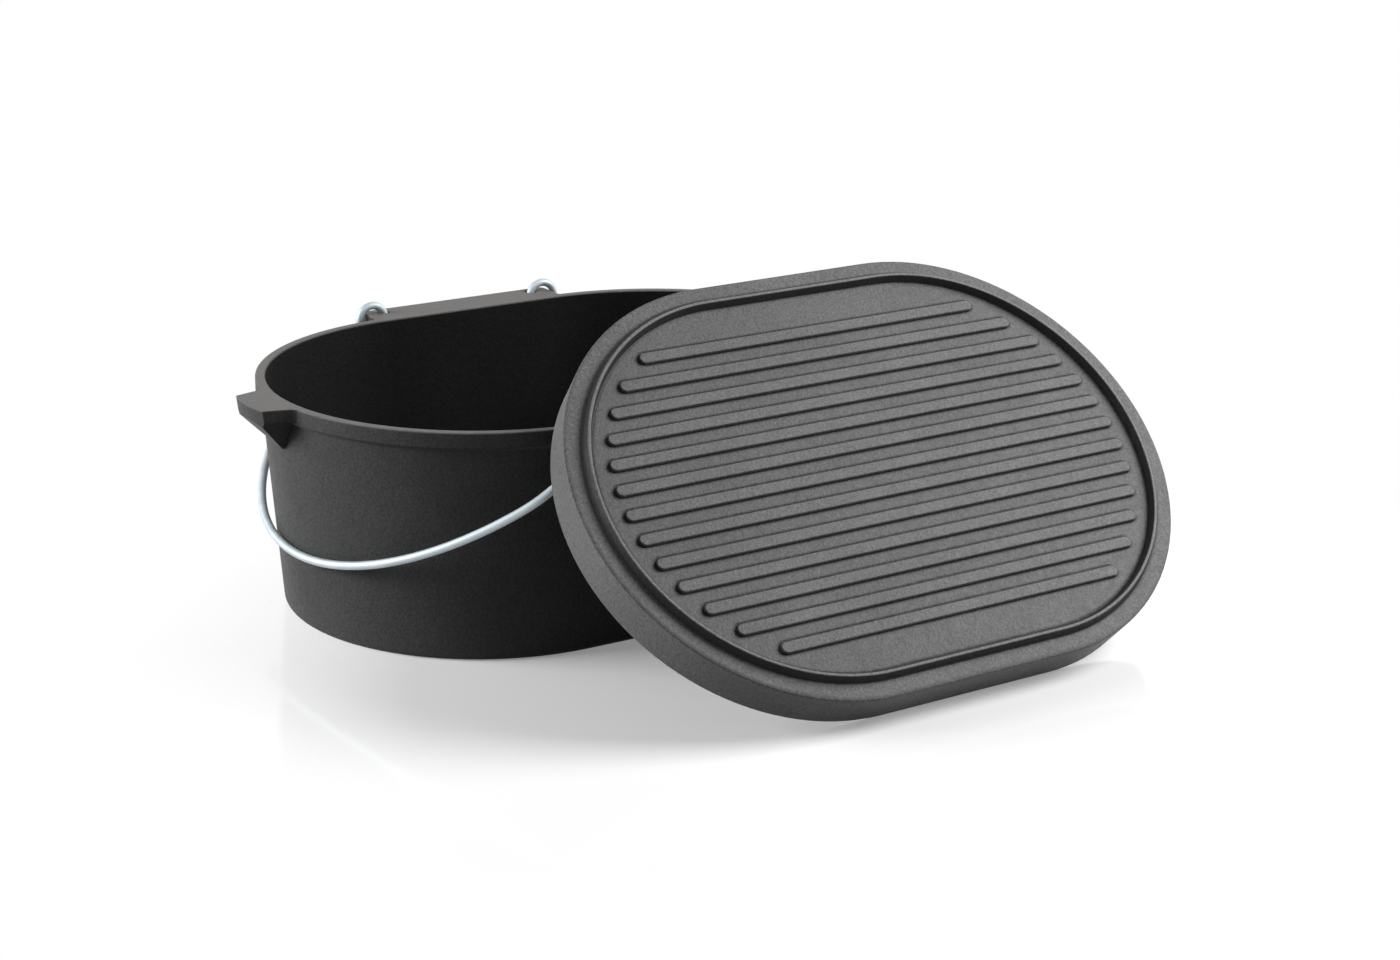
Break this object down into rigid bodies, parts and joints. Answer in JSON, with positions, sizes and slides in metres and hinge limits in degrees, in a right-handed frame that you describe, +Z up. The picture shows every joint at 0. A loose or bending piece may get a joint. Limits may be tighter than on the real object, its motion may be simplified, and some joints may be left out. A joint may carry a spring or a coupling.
{
  "type": "camp dutch oven",
  "caption": "Oval cast iron camp oven with tab handles, drilled side lugs, two wire bails, and a ribbed griddle lid that leans on its rim.",
  "frame": {"origin": "middle of the pot's flat base, on the ground", "axes": "+X along the pot's long axis towards the side the leaning lid stands out on, +Y away from the leaning lid, +Z up"},
  "size_m": [0.4993, 0.4712, 0.2016],
  "materials": {
    "iron_pot": "fine sand-cast skin, seasoned dark grey",
    "iron_lid": "fine sand-cast skin, seasoned dark grey",
    "wire": "bright zinc-plated steel wire"
  },
  "bodies": {
    "pot": {"pot": "iron_pot"},
    "lid": {"lid": "iron_lid"},
    "left_bail": {"left_bail": "wire"},
    "right_bail": {"right_bail": "wire"}
  },
  "joints": [
    {"name": "lid_lift", "type": "slide", "parent": "pot", "child": "lid", "axis": [0.0151, -0.6651, 0.7466], "range_m": [0, 0.35]},
    {"name": "left_bail_swing", "type": "hinge", "parent": "pot", "child": "left_bail", "pos_m": [-0.0625, 0, 0.13725], "axis": [0, 1, 0], "range_deg": [0, 147]},
    {"name": "right_bail_swing", "type": "hinge", "parent": "pot", "child": "right_bail", "pos_m": [0.0625, 0, 0.13725], "axis": [0, -1, 0], "range_deg": [0, 147]}
  ],
  "couplings": [
    {"joint": "left_bail_swing", "follows": "lid_lift", "rad_per_m": 7.33},
    {"joint": "right_bail_swing", "follows": "lid_lift", "rad_per_m": 7.33}
  ]
}
